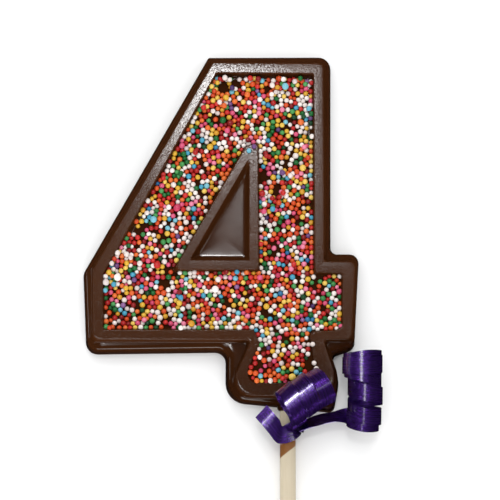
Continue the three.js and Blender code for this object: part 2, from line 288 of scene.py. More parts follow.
def begin():
    """Opens an empty object for shaping, with nothing else selected."""
    bpy.ops.object.select_all(action="DESELECT")
    bpy.ops.mesh.primitive_plane_add(size=MM, location=(0, 0, 0))
    bpy.ops.object.mode_set(mode="EDIT")
    bpy.ops.mesh.select_mode(type="VERT")
    bpy.ops.mesh.delete(type="VERT")


def end(name):
    """Closes the shaping and names the object."""
    bpy.ops.object.mode_set(mode="OBJECT")
    piece = bpy.context.object
    piece.name = name
    piece.data.name = name
    return piece


def trace(points, closed=True):
    """Draws a line through points by pulling one vertex from each to the next."""
    bpy.ops.mesh.select_all(action="DESELECT")
    bpy.ops.mesh.primitive_plane_add(size=MM, location=points[0])
    bpy.ops.mesh.merge(type="CENTER")
    for here, there in zip(points, points[1:]):
        bpy.ops.mesh.extrude_vertices_move(TRANSFORM_OT_translate={"value": there - here})
    pick_last_vertices(len(points))
    if closed:
        bpy.ops.mesh.edge_face_add()


def edit_mesh():
    """The mesh that is open for shaping."""
    mesh = bmesh.from_edit_mesh(bpy.context.object.data)
    mesh.verts.ensure_lookup_table()
    return mesh


def pick_last_vertices(count):
    """Selects the vertices that were drawn last, and the edges between them."""
    bpy.ops.mesh.select_all(action="DESELECT")
    mesh = edit_mesh()
    for vertex in mesh.verts[-count:]:
        vertex.select = True
    mesh.select_flush(True)


def pick_edges(wanted):
    """Selects the edges for which wanted(edge) is true."""
    bpy.ops.mesh.select_mode(type="EDGE")
    bpy.ops.mesh.select_all(action="DESELECT")
    for edge in edit_mesh().edges:
        if wanted(edge):
            edge.select_set(True)


def close_rim():
    """Fills the open rim of the piece, and turns its faces outwards."""
    bpy.ops.mesh.select_mode(type="EDGE")
    bpy.ops.mesh.select_all(action="DESELECT")
    bpy.ops.mesh.select_non_manifold()
    bpy.ops.mesh.edge_face_add()
    bpy.ops.mesh.select_all(action="SELECT")
    bpy.ops.mesh.normals_make_consistent(inside=False)


def moved_in(corners, inset):
    """Corners of a clockwise outline moved in by inset, as (place, radius, angle of turn)."""
    places = [Vector(corner[:2]) for corner in corners]
    moved = []
    for i, (here, corner) in enumerate(zip(places, corners)):
        before = (here - places[i - 1]).normalized()
        after = (places[(i + 1) % len(places)] - here).normalized()
        inward = Vector((before.y + after.y, -before.x - after.x))
        turn = before.angle(after)
        moved.append((here + inward * inset / (1 + before.dot(after)), corner[2], turn))
    return moved


def stepped(name, corners, levels):
    """A solid whose sides follow levels [inset, height] of an outline with rounded corners."""
    (first_inset, first_height), *_ = levels
    corners = moved_in(corners, first_inset)
    begin()
    trace([at(*place, first_height) for place, _, _ in corners])
    if top_face().normal.z < 0:
        bpy.ops.mesh.flip_normals()
    rings = [[vertex.co.copy() for vertex in top_face().verts]]
    for (inset, height), (next_inset, next_height) in zip(levels, levels[1:]):
        bpy.ops.mesh.inset(thickness=(next_inset - inset) * MM, depth=(next_height - height) * MM)
        rings.append([vertex.co.copy() for vertex in top_face().verts])
    close_rim()
    for place, radius, turn in corners:
        corner = at(*place, first_height)
        column = min(range(len(corners)), key=lambda i: (rings[0][i] - corner).length)
        places = [ring[column] for ring in rings]
        pick_edges(lambda edge: joins(edge, places))
        reach = radius * math.tan(turn / 2) * MM
        bpy.ops.mesh.bevel(offset=reach, segments=CORNER_STEPS, clamp_overlap=False)
    return end(name)


def top_face():
    """The selected face, which is the top one while a stepped solid is drawn."""
    return next(face for face in edit_mesh().faces if face.select)


def joins(edge, places):
    """Whether an edge runs from one of the places to the next."""
    one, other = (vertex.co for vertex in edge.verts)
    for low, high in zip(places, places[1:]):
        upwards = max((one - low).length, (other - high).length)
        downwards = max((one - high).length, (other - low).length)
        if min(upwards, downwards) < NEAR:
            return True
    return False


def combine(piece, other, operation):
    """Joins another solid to a piece or cuts it out, and removes the other."""
    apply(piece, "BOOLEAN", operation=operation, object=other, solver="EXACT")
    bpy.data.objects.remove(other)
    return piece


def apply(piece, kind, **settings):
    """Adds a modifier to a piece and applies it."""
    bpy.context.view_layer.objects.active = piece
    modifier = piece.modifiers.new(kind.lower(), kind)
    for name, value in settings.items():
        setattr(modifier, name, value)
    bpy.ops.object.modifier_apply(modifier=modifier.name)


def smooth(piece, angle):
    """Shades a piece smooth, but keeps edges sharper than angle, in degrees."""
    bpy.ops.object.select_all(action="DESELECT")
    piece.select_set(True)
    bpy.context.view_layer.objects.active = piece
    bpy.ops.object.shade_smooth_by_angle(angle=math.radians(angle))


def even_out(piece):
    """Lets large faces lead the shading, so that they look flat."""
    apply(piece, "WEIGHTED_NORMAL", keep_sharp=True, weight=60)


def begin_round_bar(radius, low, high, sides=48):
    """Opens a round bar on the stick's axis, between two distances up the drawing, for shaping."""
    bpy.ops.object.select_all(action="DESELECT")
    bpy.ops.mesh.primitive_cylinder_add(
        vertices=sides,
        radius=radius * MM,
        depth=(high - low) * MM,
        location=at(STICK_X, (low + high) / 2, STICK_Z),
        rotation=(math.pi / 2, 0, 0),
    )
    bpy.ops.object.transform_apply()
    bpy.ops.object.mode_set(mode="EDIT")


def round_ends(ends, rounding, segments):
    """Rounds the edges of a bar's ends, which lie at these distances up the drawing."""
    levels = [at(0, y).y for y in ends]
    pick_edges(lambda edge: any(lies_at(edge, level) for level in levels))
    bpy.ops.mesh.bevel(offset=rounding * MM, segments=segments)


def lies_at(edge, y):
    """Whether an edge lies at a distance up the frame."""
    return all(abs(vertex.co.y - y) < NEAR for vertex in edge.verts)


def settle_in(piece, node):
    """Says what a finished piece rides on, and hides the node it stands for."""
    if node:
        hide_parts(node)
    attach(piece, BODY)


# Chocolate


def foot_filling():
    """Chocolate that fills the foot's bed almost to the border, with a ramp up to it."""
    left, width = -10, 40
    bottom = -50
    ramp_foot, ramp_top = FOOT_RAMP
    profile = [
        (bottom, UNDER_BED),
        (ramp_foot, UNDER_BED),
        (ramp_foot, BED),
        (ramp_top, FOOT_BED),
        (bottom, FOOT_BED),
    ]
    begin()
    trace([at(left, y, z) for y, z in profile])
    bpy.ops.mesh.extrude_region_move(TRANSFORM_OT_translate={"value": (width * MM, 0, 0)})
    bpy.ops.mesh.select_all(action="SELECT")
    bpy.ops.mesh.normals_make_consistent(inside=False)
    return end("foot_filling")


def collar():
    """The chocolate that crept down the stick."""
    begin_round_bar(COLLAR_RADIUS, COLLAR_END, COLLAR_TOP)
    round_ends([COLLAR_END], COLLAR_ROUNDING, 5)
    return end("collar")


def bore():
    """A bar as wide as the bore, for cutting it."""
    begin_round_bar(BORE_RADIUS, BORE_END, BORE_TOP)
    return end("bore")


def chocolate():
    """The moulded figure: a border stands on the slab, the bed is cut out of both, the eye's border
    stands in the bed with the eye cut out, and a collar runs down the stick."""
    piece = stepped("chocolate_figure", FIGURE, SLAB_LEVELS)
    combine(piece, stepped("border", BORDER_FOOT, BORDER_LEVELS), "UNION")
    wall_down = [(0, ABOVE)] + [(run, BORDER - drop) for run, drop in WALL]
    bed = stepped("bed", BED_EDGE, wall_down)
    combine(piece, combine(bed, foot_filling(), "DIFFERENCE"), "DIFFERENCE")
    rise = [EYE_BORDER_FOOT] + [(-run, BORDER - drop) for run, drop in reversed(WALL[:-1])]
    combine(piece, stepped("eye_border", EYE_BORDER, rise), "UNION")
    combine(piece, stepped("eye", EYE, [(0, ABOVE)] + EYE_WALL), "DIFFERENCE")
    combine(piece, collar(), "UNION")
    combine(piece, bore(), "DIFFERENCE")
    smooth(piece, 35)
    even_out(piece)
    mark_bed(piece)
    piece.data.materials.clear()
    piece.data.materials.append(chocolate_finish())
    settle_in(piece, "chocolate")


def mark_bed(piece):
    """Marks the faces of the bed's floor, its ramp and the foot's filling."""
    reach = 0.15 * MM
    points = [vertex.co for vertex in piece.data.vertices]
    off = [abs(point.z - bed_height(point.y / MM - SHIFT.y) * MM) for point in points]
    marks = [all(off[i] < reach for i in face.vertices) for face in piece.data.polygons]
    mark = piece.data.attributes.new("bed", "FLOAT", "FACE")
    mark.data.foreach_set("value", np.array(marks, float))


# Sprinkles


def outline_of(corners):
    """The sharp corners of an outline, as points."""
    return np.array([corner[:2] for corner in corners], float)


def nearest_wall(points, outline):
    """For each point the nearest place on an outline, and whether the point is inside it."""
    start = outline
    side = np.roll(outline, -1, axis=0) - start
    away = points[:, None, :] - start
    share = np.clip((away * side).sum(2) / (side**2).sum(1), 0, 1)
    feet = start + share[..., None] * side
    nearest = np.argmin(np.linalg.norm(points[:, None, :] - feet, axis=2), axis=1)
    stop = start + side
    rises = (start[:, 1] > points[:, 1:]) != (stop[:, 1] > points[:, 1:])
    with np.errstate(divide="ignore", invalid="ignore"):
        crossing = side[:, 0] * (points[:, 1:] - start[:, 1]) / side[:, 1] + start[:, 0]
    inside = (rises & (points[:, :1] < crossing)).sum(1) % 2 == 1
    return feet[np.arange(len(points)), nearest], inside


def bed_height(y):
    """The height of the bed's floor at a distance up the drawing."""
    start, stop = FOOT_RAMP
    return BED + (FOOT_BED - BED) * np.clip((y - start) / (stop - start), 0, 1)


def keep_off_wall(points, outline, gap, stay_inside):
    """Moves points that cross a wall, or come nearer to it than gap, back to that distance."""
    foot, inside = nearest_wall(points, outline)
    away = points - foot
    distance = np.linalg.norm(away, axis=1)
    right_side = inside == stay_inside
    wrong = ~right_side | (distance < gap)
    direction = away / np.maximum(distance, 1e-9)[:, None] * np.where(right_side, 1, -1)[:, None]
    points[wrong] = (foot + direction * gap[:, None])[wrong]


def pour(random):
    """Places of the sprinkles as they fall at random over the bed, fewer of them on the foot."""
    outer, inner = outline_of(BED_EDGE), outline_of(EYE_BORDER)
    poured = random.uniform(outer.min(0), outer.max(0), (SPRINKLES * 4, 2))
    on_bed = nearest_wall(poured, outer)[1] & ~nearest_wall(poured, inner)[1]
    (x1, y1), (x2, y2) = FOOT_EDGE
    past_edge = (poured[:, 0] - x1) * (y2 - y1) - (poured[:, 1] - y1) * (x2 - x1) < 0
    above_foot = poured[:, 1] >= y1
    stays = ~past_edge & (random.random(len(poured)) < FOOT_SHARE)
    return poured[on_bed & (above_foot | stays)][:SPRINKLES]


def near_pairs(centre):
    """The pairs of sprinkles that are near enough to touch in the next rounds."""
    reach = 2.6 * SPRINKLE_RADIUS
    apart = centre[:, None, :] - centre[None, :, :]
    return np.nonzero(np.triu((apart**2).sum(2) < reach**2, 1))


def press_apart(centre, radius, pairs):
    """Moves the sprinkles of each pair that overlaps away from each other."""
    one, other = pairs
    between = centre[one] - centre[other]
    distance = np.linalg.norm(between, axis=1)
    overlap = np.maximum(radius[one] + radius[other] - distance, 0)
    push = between * (SETTLING_PUSH / 2 * overlap / np.maximum(distance, 1e-6))[:, None]
    np.add.at(centre, one, push)
    np.add.at(centre, other, -push)


def keep_in_bed(centre, radius, limit):
    """Moves sprinkles back below their upper limit, out of the bare places and off the walls. Those
    that lie high may come nearer to a wall, because the walls slope."""
    raised = (centre[:, 2] - BED - radius) / (FOOT_BED - BED)
    gap = radius * 0.9 + WALL_GAP - WALL_GAP * np.clip(raised, 0, 1)
    flat = centre[:, :2].copy()
    flat[:, 1] = np.minimum(flat[:, 1], limit)
    for x, y, reach in BARE:
        away = flat - (x, y)
        distance = np.maximum(np.linalg.norm(away, axis=1), 1e-6)
        near = distance < reach + radius
        flat[near] = ((x, y) + away / distance[:, None] * (reach + radius)[:, None])[near]
    keep_off_wall(flat, outline_of(BED_EDGE), gap, True)
    keep_off_wall(flat, outline_of(EYE_BORDER), gap, False)
    centre[:, :2] = flat


def sprinkle_layer(random):
    """Centres and radii of the sprinkles, poured at random over the bed and settled until they
    hardly press on each other, some of them on top of others."""
    plan = pour(random)
    count = len(plan)
    limit = TOP_LIMIT - random.random(count) * TOP_UNEVEN
    radius = SPRINKLE_RADIUS * random.normal(1, SPRINKLE_SPREAD, count).clip(0.8, 1.2)
    radius[random.random(count) < BIG_SHARE] *= BIG_GROWTH
    sunk = random.uniform(*SPRINKLE_SUNK, count)
    centre = np.column_stack([plan, bed_height(plan[:, 1]) + radius])
    for turn in range(SETTLING_ROUNDS):
        if turn % 5 == 0:
            pairs = near_pairs(centre)
        press_apart(centre, radius, pairs)
        centre[:, 2] -= SETTLING_DROP
        keep_in_bed(centre, radius, limit)
        lowest = bed_height(centre[:, 1]) + radius - sunk
        centre[:, 2] = np.maximum(centre[:, 2], lowest)
    return centre, radius


def one_sprinkle():
    """Points and faces of one round sprinkle of radius 1."""
    bpy.ops.object.select_all(action="DESELECT")
    bpy.ops.mesh.primitive_ico_sphere_add(subdivisions=2, radius=1)
    ball = bpy.context.object
    points = np.array([vertex.co for vertex in ball.data.vertices])
    faces = np.array([face.vertices[:] for face in ball.data.polygons])
    bpy.data.objects.remove(ball)
    return points, faces


def random_turns(random, count):
    """Rotation matrices from random unit quaternions."""
    w, x, y, z = random.normal(size=(count, 4)).T
    length = np.sqrt(w * w + x * x + y * y + z * z)
    w, x, y, z = w / length, x / length, y / length, z / length
    rows = [
        [1 - 2 * (y * y + z * z), 2 * (x * y - z * w), 2 * (x * z + y * w)],
        [2 * (x * y + z * w), 1 - 2 * (x * x + z * z), 2 * (y * z - x * w)],
        [2 * (x * z - y * w), 2 * (y * z + x * w), 1 - 2 * (x * x + y * y)],
    ]
    return np.moveaxis(np.array(rows), -1, 0)


def sprinkle_piece(kind, centres, radii, random):
    """All the sprinkles of one colour as one mesh, each a little out of round."""
    points, faces = one_sprinkle()
    count = len(centres)
    stretch = random.normal(1, OUT_OF_ROUND, (count, 1, 3))
    shapes = (points * stretch) @ random_turns(random, count) * radii[:, None, None]
    places = (shapes + centres[:, None, :] + np.array(SHIFT)) * MM
    corners = faces[None] + (np.arange(count) * len(points))[:, None, None]
    mesh = bpy.data.meshes.new("sprinkles_" + kind)
    mesh.from_pydata(places.reshape(-1, 3), [], corners.reshape(-1, 3))
    tone = mesh.attributes.new("tone", "FLOAT", "POINT")
    tone.data.foreach_set("value", np.repeat(random.random(count), len(points)))
    mesh.shade_smooth()
    piece = bpy.data.objects.new(mesh.name, mesh)
    bpy.context.collection.objects.link(piece)
    piece.data.materials.append(sprinkle_finish(kind))
    settle_in(piece, None)


def sprinkles():
    """The layer of sprinkles, shared out among the kinds at random, and the ones that lie alone."""
    random = np.random.default_rng(4)
    centres, radii = sprinkle_layer(random)
    shares = np.array([share for share, _ in KINDS.values()])
    picked = random.choice(len(KINDS), len(centres), p=shares / shares.sum())
    lone_height = BORDER + SPRINKLE_RADIUS - LONE_SUNK
    for number, kind in enumerate(KINDS):
        lone = [(x, y, lone_height) for name, x, y in LONE if name == kind]
        chosen = picked == number
        places = np.vstack([centres[chosen], np.array(lone).reshape(-1, 3)])
        sizes = np.append(radii[chosen], [SPRINKLE_RADIUS] * len(lone))
        sprinkle_piece(kind, places, sizes, random)


# Stick


def stick():
    """The paper stick, with both ends a little rounded."""
    ends = (STICK_TOP - STICK_LENGTH, STICK_TOP)
    begin_round_bar(STICK_RADIUS, *ends, sides=64)
    round_ends(ends, 0.22, 3)
    piece = end("paper_stick")
    smooth(piece, 40)
    even_out(piece)
    piece.data.materials.append(stick_finish())
    settle_in(piece, "stick")


# Ribbon


def smooth_line(guides, steps):
    """Places along a Catmull-Rom line through guide places."""
    around = [guides[0] * 2 - guides[1], *guides, guides[-1] * 2 - guides[-2]]
    line = []
    for a, b, c, d in zip(around, around[1:], around[2:], around[3:]):
        for s in range(steps):
            t = s / steps
            square = (2 * a - 5 * b + 4 * c - d) * t**2
            cube = (3 * b - a - 3 * c + d) * t**3
            line.append((2 * b + (c - a) * t + square + cube) / 2)
    return line + [guides[-1]]


def strand(guides):
    """Stations (middle, direction across) along a smooth line through guide stations."""
    middles = smooth_line([Vector(middle) for middle, _ in guides], STRAND_STEPS)
    acrosses = smooth_line([Vector(across).normalized() for _, across in guides], STRAND_STEPS)
    return [(middle, across.normalized()) for middle, across in zip(middles, acrosses)]


def curl(keys, from_turn, to_turn, hand):
    """Stations of a curl. Each turn has a key for the place where the ribbon passes over its top:
    x, y, z, heading and slope of the axis in degrees, radius, and skew along the axis."""
    count = math.ceil((to_turn - from_turn) * TURN_STEPS)
    stations = []
    for i in range(count + 1):
        turn = from_turn + (to_turn - from_turn) * i / count
        low = min(int(turn), len(keys) - 2)
        share = turn - low
        x, y, z, heading, slope, radius, skew = (
            a + (b - a) * share for a, b in zip(keys[low], keys[low + 1])
        )
        heading, slope = math.radians(heading), math.radians(slope)
        flat = Vector((math.cos(heading), math.sin(heading), 0))
        axis = flat * math.cos(slope) + Vector((0, 0, math.sin(slope)))
        side = Vector((flat.y, -flat.x, 0))
        up = side.cross(axis)
        around = hand * turn * 2 * math.pi + math.pi / 2
        out = side * math.cos(around) + up * math.sin(around)
        stations.append((Vector((x, y, z)) + out * radius - axis * skew * math.cos(around), axis))
    return stations


def band(name, stations, width=RIBBON_WIDTH, painted_shade_share=0.0):
    """A thin ribbon through stations: its two edges are traced and bridged, and the strip between them
    is thickened. The last argument is how much shade to paint on it, 1 deep in a fold where shade
    falls."""
    begin()
    edges = []
    for i, (middle, across) in enumerate(stations):
        ahead = stations[min(i + 1, len(stations) - 1)][0]
        behind = stations[max(i - 1, 0)][0]
        along = (ahead - behind).normalized()
        reach = width / 2 / across.cross(along).length
        edges.append((at(*(middle + across * reach)), at(*(middle - across * reach))))
    for side in range(2):
        trace([edge[side] for edge in edges], closed=False)
    bpy.ops.mesh.select_all(action="SELECT")
    bpy.ops.mesh.bridge_edge_loops()
    piece = end(name)
    lay_pattern(piece, edges, painted_shade_share)
    apply(piece, "SUBSURF", levels=1, render_levels=1, boundary_smooth="PRESERVE_CORNERS")
    apply(piece, "SOLIDIFY", thickness=RIBBON_THICK * MM, offset=0)
    return piece


def lay_pattern(piece, edges, painted_shade_share):
    """Writes on each vertex how far across and along the ribbon it lies, and how much painted shade it
    gets for lying deep in a fold.
    """
    count = len(edges)
    middles = [(left + right) / 2 for left, right in edges]
    lengths = np.cumsum([0] + [(b - a).length for a, b in zip(middles, middles[1:])])
    patterns = {
        "across": np.repeat([0.0, 1.0], count),
        "along": np.tile(lengths, 2),
        "painted_shade": np.full(2 * count, painted_shade_share),
    }
    for name, values in patterns.items():
        pattern = piece.data.attributes.new(name, "FLOAT", "POINT")
        pattern.data.foreach_set("value", values)


def long_curl():
    """The strand that runs to the right and its upright curl, whose last turn comes back down
    over the outside to the ribbon's end."""
    turns = [
        (32.4, -48.9, 6.2, 90, 14, 4.45, 0.3),
        (32.4, -49.3, 6.1, 90, 14, 4.7, 0.5),
        (32.9, -47.3, 6.55, 90, 14, 5, 0.1),
        (33.2, -40.9, 8.3, 90, 10, 4.85, -0.2),
        (32.2, -35.7, 9.1, 90, 7, 5.25, 0.5),
        (32.2, -31.4, 9.6, 90, 7, 5.5, -0.9),
        (32.2, -33.7, 9.35, 90, 7, 5.75, 0.3),
    ]
    curled = curl(turns, 0.375, 6.3125, 1)
    run = strand(
        [
            (KNOT, (0, 0.6, -0.8)),
            ((17.3, -49.9, 5.7), (0, 0.62, -0.78)),
            ((20.6, -48.9, 5.3), (0, 0.64, -0.76)),
            ((24.1, -48.2, 4.9), (0, 0.62, -0.78)),
            ((26.9, -47.8, 4.2), (0, 0.8, -0.55)),
            curled[0],
        ]
    )
    return band("ribbon_long_curl", run[:-1] + curled)


def barrel_curl():
    """The curl that leans over the front of the foot."""
    turns = [
        (11, -45.4, 15.1, 38, 2, 5.4, -1.2),
        (11.7, -45, 15, 40, 0, 5.55, 1.7),
        (15.3, -42.8, 15.1, 38, -7, 5.6, 1.9),
        (18.9, -40.8, 14.5, 29, -15, 5.45, 0.8),
    ]
    curled = curl(turns, 0.4375, 3.375, -1)
    run = strand([(KNOT, (0.8, 0.6, 0)), ((14.2, -50.6, 8.6), (0.82, 0.57, 0)), curled[0]])
    return band("ribbon_barrel_curl", run[:-1] + curled)


def short_tail():
    """The tail that comes round the stick and curls up to its cut end on the left."""
    return band(
        "ribbon_tail",
        strand(
            [
                ((13.7, -50.4, 2.2), (-0.42, 0.9, 0)),
                ((13.7, -50.8, 3.6), (-0.42, 0.9, 0)),
                ((12.8, -51.9, 5.2), (-0.38, 0.93, 0)),
                ((11, -53.1, 5.9), (-0.2, 0.98, 0)),
                ((8.9, -53.4, 6.4), (0.05, 1, 0)),
                ((6.9, -51.1, 7), (0.45, 0.89, 0)),
                ((5.2, -49.1, 7.2), (0.65, 0.76, 0)),
                ((3.2, -46.7, 6.2), (0.68, 0.73, 0)),
            ]
        ),
    )


def stick_loop():
    """The loop of ribbon round the stick, slanting but for its left end."""
    radius = STICK_RADIUS + 0.4
    level, slant, left_end = -52.4, 0.5, -1.6
    sides = 24
    stations = []
    for i in range(sides + 1):
        around = i / sides * 2 * math.pi
        out = radius * math.cos(around)
        y = level + slant * max(out, left_end)
        middle = Vector((STICK_X + out, y, STICK_Z + radius * math.sin(around)))
        stations.append((middle, Vector((0, 1, 0))))
    return band("ribbon_loop", stations, width=4.2)


def knot():
    """The small turned knot: a short length of ribbon pulled tight round the strands."""
    wide = Vector((0.35, 1.15, 0))
    high = Vector((0, 0, 1.05))
    across = Vector((0.95, -0.3, 0)).normalized()
    sides = 20
    stations = []
    for i in range(sides + 1):
        around = i / sides * 2 * math.pi
        middle = Vector(KNOT) + (wide * math.cos(around) + high * math.sin(around))
        stations.append((middle, across))
    # painted shade: the knot is coloured nearly black all over, for the shade that falls deep in its
    # folds
    return band("ribbon_knot", stations, width=3.2, painted_shade_share=1.0)


def ribbon():
    """The whole ribbon, one piece."""
    parts = [long_curl(), barrel_curl(), short_tail(), stick_loop(), knot()]
    bpy.ops.object.select_all(action="DESELECT")
    for part in parts:
        part.select_set(True)
    bpy.context.view_layer.objects.active = parts[0]
    bpy.ops.object.join()
    piece = bpy.context.object
    piece.name = piece.data.name = "gift_ribbon"
    smooth(piece, 45)
    piece.data.materials.append(ribbon_finish())
    settle_in(piece, "ribbon")


# Finishes


class Value:
    """A value in a material's tree. Arithmetic on it adds Math nodes."""

    def __init__(self, socket):
        self.socket = socket

    def maths(self, operation, first, second):
        node = self.socket.id_data.nodes.new("ShaderNodeMath")
        node.operation = operation
        feed(node.inputs[0], first)
        feed(node.inputs[1], second)
        return Value(node.outputs[0])

    def __add__(self, other):
        return self.maths("ADD", self, other)

    def __radd__(self, other):
        return self.maths("ADD", other, self)

    def __sub__(self, other):
        return self.maths("SUBTRACT", self, other)

    def __rsub__(self, other):
        return self.maths("SUBTRACT", other, self)

    def __mul__(self, other):
        return self.maths("MULTIPLY", self, other)

    def __rmul__(self, other):
        return self.maths("MULTIPLY", other, self)


def feed(socket, value):
    """Links a value to a socket, or sets the socket to a plain number or colour."""
    if isinstance(value, Value):
        socket.id_data.links.new(value.socket, socket)
    elif hasattr(value, "__len__") and len(socket.default_value) == 4:
        socket.default_value = (*value, 1)
    else:
        socket.default_value = value


class Finish:
    """A material with one Principled shader, whose constants are set on its own sockets."""

    def __init__(self, name, **constants):
        self.material = bpy.data.materials.new(name)
        self.material.use_nodes = True
        self.tree = self.material.node_tree
        self.shader = self.tree.nodes["Principled BSDF"]
        self.surface(**constants)

    def node(self, kind, settings=None, inputs=None, output=0):
        """Adds a node: its settings first, then the values or links of its sockets."""
        node = self.tree.nodes.new("ShaderNode" + kind)
        for name, value in (settings or {}).items():
            if name == "stops":
                set_stops(node.color_ramp, value)
            else:
                setattr(node, name, value)
        for name, value in (inputs or {}).items():
            feed(node.inputs[name], value)
        return Value(node.outputs[output])

    def place(self, scale=(1, 1, 1), centre=(0, 0, 0)):
        """Object coordinates, centred and scaled."""
        position = self.node("TexCoord", output="Object")
        inputs = {"Vector": position, "Location": centre, "Scale": scale}
        return self.node("Mapping", {"vector_type": "TEXTURE"}, inputs)

    def distance(self, where, axis):
        """How far a place lies along an axis."""
        return self.node("SeparateXYZ", None, {"Vector": where}, output=axis)

    def written(self, name):
        """A value that is written on the mesh."""
        return self.node("Attribute", {"attribute_name": name}, output="Fac")

    def noise(self, where, scale, detail, roughness=0.55):
        """An even random pattern from 0 to 1, finer at a larger scale."""
        inputs = {"Vector": where, "Scale": scale, "Detail": detail, "Roughness": roughness}
        return self.node("TexNoise", None, inputs)

    def ramp(self, value, *stops):
        """A colour for each value, from stops (value, colour)."""
        return self.node("ValToRGB", {"stops": stops}, {"Fac": value})

    def between(self, value, low, high):
        """0 below low, 1 above high, and an even rise with soft ends between them."""
        inputs = {"Value": value, "From Min": low, "From Max": high}
        return self.node("MapRange", {"interpolation_type": "SMOOTHSTEP"}, inputs)

    def mix(self, share, first, second):
        """Mixes a share of a second colour into the first."""
        inputs = {0: share, 6: first, 7: second}
        return self.node("Mix", {"data_type": "RGBA"}, inputs, output=2)

    def bump(self, height, distance, strength, under=None):
        """Fine relief, over another one if that is given."""
        inputs = {"Height": height, "Distance": distance, "Strength": strength}
        if under:
            inputs["Normal"] = under
        return self.node("Bump", None, inputs)

    def dull(self, share, colour):
        """Lays a matt finish of a colour over a share of the gloss."""
        matt = self.node("BsdfDiffuse", None, {"Color": colour})
        both = self.node("MixShader", None, {0: share, 1: Value(self.shader.outputs[0]), 2: matt})
        feed(self.tree.nodes["Material Output"].inputs["Surface"], both)

    def surface(self, **inputs):
        """Feeds the shader's sockets and returns the material."""
        for socket, value in inputs.items():
            feed(self.shader.inputs[socket.replace("_", " ")], value)
        return self.material


def set_stops(ramp, stops):
    """Sets a ramp's stops (position, colour). It has two to start with."""
    for i, (position, colour) in enumerate(stops):
        element = ramp.elements[i] if i < 2 else ramp.elements.new(position)
        element.position = position
        element.color = (*colour, 1)


def chocolate_finish():
    """Dark chocolate: glossy on the shelf and on the tops of the borders, which have fine pits, small
    dents and a paler, greyer painted sheen, nearly matt on the borders' walls and the bed, rougher down
    the slab's sides, and with painted shade low down, deep in the bed and towards the foot."""
    finish = Finish("dark_chocolate", Specular_IOR_Level=0.5)
    where = finish.place()
    height = finish.distance(where, "Z")
    top = finish.between(height, (BORDER - 0.5) * MM, (BORDER - 0.1) * MM)
    side = 1 - finish.between(height, 3.5 * MM, 5.2 * MM)
    # where shade is painted low down, on the shelf, the eye's panel and the bed
    low = 1 - finish.between(height, (SHELF + 0.4) * MM, (BORDER - 0.6) * MM)
    flank = finish.between(height, (SHELF + 0.05) * MM, (SHELF + 0.3) * MM) * (1 - top)
    # where shade is painted towards the foot
    foot = 1 - finish.between(finish.distance(where, "Y"), 8 * MM, 30 * MM)
    bed = finish.written("bed")
    # where shade is painted deep in the bed
    deep = bed * (1 - finish.between(height, (BED + 0.4) * MM, (FOOT_BED - 0.1) * MM))

    cloud = finish.between(finish.noise(where, 90, 4), 0.3, 0.7)
    specks = finish.between(finish.noise(where, 900, 2), 0.6, 0.75)
    brown = finish.mix(cloud, (0.040, 0.0118, 0.0032), (0.049, 0.0152, 0.0044))
    # painted sheen: the tops of the borders are paler and greyer, with paler specks, for the grey shine
    # they catch
    with_painted_sheen = finish.mix(top * (0.15 + specks * 0.45), brown, (0.075, 0.033, 0.018))
    # painted shade: darker low down and towards the foot, where less light falls
    base = finish.mix(foot * 0.5 + low * 0.2, with_painted_sheen, (0.014, 0.004, 0.001))
    # painted shade: the bed's floor darkens deep down, where shade falls between the sprinkles and
    # under the borders
    with_painted_bed_shade = finish.mix(deep, base, (0.034, 0.0098, 0.0036))
    finish.dull(bed + flank * 0.8 + top * 0.12, with_painted_bed_shade)

    pits = finish.noise(where, 1700, 2, 0.6)
    dents = finish.between(finish.noise(where, 2000, 1), 0.55, 0.63)
    relief = pits * (0.04 + top * 0.5) - dents * top * 2
    wave = finish.bump(finish.noise(where, 120, 2), 0.12 * MM, 0.3)
    grain = finish.bump(relief, 0.07 * MM, 0.5, under=wave)
    rough = 0.085 + side * 0.3 + finish.noise(where, 260, 3) * 0.05
    return finish.surface(Base_Color=base, Roughness=rough, Normal=grain)


def sprinkle_finish(kind):
    """Polished sugar, each ball a shade of its kind, a little mottled."""
    _, (usual, light, deep) = KINDS[kind]
    finish = Finish("sugar_" + kind, Specular_IOR_Level=0.45)
    tone = finish.written("tone")
    stops = (0.0, light), (0.3, light), (0.45, usual), (0.8, usual), (0.92, deep)
    mottle = finish.noise(finish.place(), 2200, 2)
    darker = tuple(channel * 0.8 for channel in usual)
    base = finish.mix(mottle * 0.3, finish.ramp(tone, *stops), darker)
    return finish.surface(Base_Color=base, Roughness=0.34 + mottle * 0.16)


def stick_finish():
    """Rolled cream paper: long faint fibres, and a slanting chocolate-brown painted shadow of the
    ribbon just below it.
    """
    finish = Finish("rolled_paper", Specular_IOR_Level=0.3)
    middle = at(STICK_X, STICK_TOP, STICK_Z)
    where = finish.place(centre=middle)
    fibres = finish.noise(finish.place(centre=middle, scale=(1, 30, 1)), 2600, 3, 0.6)
    blotch = finish.noise(where, 110, 3)
    cream = finish.mix(fibres, (0.50, 0.425, 0.305), (0.62, 0.55, 0.42))
    paper = finish.mix(blotch * 0.35, cream, (0.51, 0.425, 0.285))

    # painted shadow: a slanting chocolate-brown band on the stick just below the ribbon, where the
    # ribbon's shadow falls
    slant = finish.distance(where, "X") * 0.75
    up = finish.distance(where, "Y") - slant + (blotch - 0.5) * 0.8 * MM
    low, high = (-58.2 - STICK_TOP) * MM, (-55 - STICK_TOP) * MM
    painted_ribbon_shadow = finish.between(up, low - 0.2 * MM, low + 0.2 * MM)
    painted_ribbon_shadow = painted_ribbon_shadow * (1 - finish.between(up, high, high + 1.5 * MM))
    base = finish.mix(painted_ribbon_shadow * (0.76 + blotch * 0.4), paper, (0.2, 0.068, 0.007))
    fuzz = finish.bump(fibres, 0.05 * MM, 0.5)
    return finish.surface(Base_Color=base, Roughness=0.72, Normal=fuzz)


